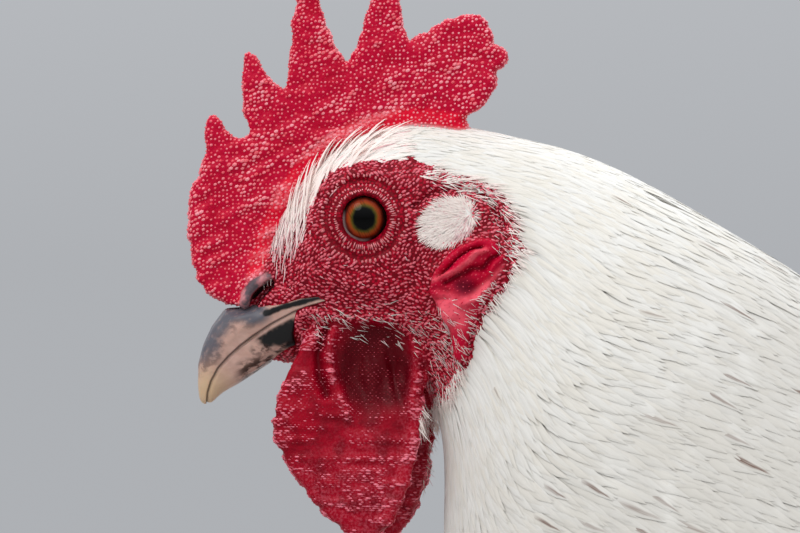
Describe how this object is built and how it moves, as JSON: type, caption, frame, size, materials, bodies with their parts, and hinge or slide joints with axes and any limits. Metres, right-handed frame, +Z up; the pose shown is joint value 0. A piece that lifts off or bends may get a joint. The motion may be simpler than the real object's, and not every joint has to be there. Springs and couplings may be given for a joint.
{
  "type": "rooster",
  "caption": "Life-size standing white rooster with a red single comb, wattles and earlobes, flecked neck hackle, folded wings, black tail and pinkish legs; a still model.",
  "frame": {"origin": "on the floor, below the centre of the bounding box", "axes": "+Z up; the bird faces -Y, its tail towards +Y, and its left side is +X"},
  "size_m": [0.1876, 0.5418, 0.5285],
  "materials": {
    "comb_skin": "moist beaded skin, semi-gloss",
    "beak_horn": "smooth horn, satin, slate-grey towards the base",
    "eye": "wet gloss, orange-brown iris and black pupil",
    "cornea": "clear wet dome",
    "white_feather": "soft matte feather vanes with dusky streaks on the neck",
    "tail_feather": "black feather vanes with a faint green gloss",
    "leg_scale": "dry overlapping scales, satin",
    "claw_horn": "smooth pale horn"
  },
  "bodies": {
    "root": {"head": "comb_skin", "comb": "comb_skin", "earlobe_left": "comb_skin", "earlobe_right": "comb_skin", "wattle_left": "comb_skin", "wattle_right": "comb_skin", "beak_upper": "beak_horn", "beak_lower": "beak_horn", "eye_left": "eye", "eye_right": "eye", "neck": "white_feather", "trunk": "white_feather", "rump": "white_feather", "ear_tuft_left": "white_feather", "ear_tuft_right": "white_feather", "wing_left": "white_feather", "wing_right": "white_feather", "thigh_left": "white_feather", "thigh_right": "white_feather", "tail_fan_left": "tail_feather", "tail_fan_right": "tail_feather", "tail_sickle_left": "tail_feather", "tail_sickle_right": "tail_feather", "tail_coverts_left": "tail_feather", "tail_coverts_right": "tail_feather", "shank_left": "leg_scale", "shank_right": "leg_scale", "foot_left": "leg_scale", "foot_right": "leg_scale", "toe_inner_left": "leg_scale", "toe_inner_right": "leg_scale", "toe_middle_left": "leg_scale", "toe_middle_right": "leg_scale", "toe_outer_left": "leg_scale", "toe_outer_right": "leg_scale", "toe_hind_left": "leg_scale", "toe_hind_right": "leg_scale", "spur_left": "claw_horn", "spur_right": "claw_horn", "claw_inner_left": "claw_horn", "claw_inner_right": "claw_horn", "claw_middle_left": "claw_horn", "claw_middle_right": "claw_horn", "claw_outer_left": "claw_horn", "claw_outer_right": "claw_horn", "claw_hind_left": "claw_horn", "claw_hind_right": "claw_horn"}
  },
  "joints": []
}
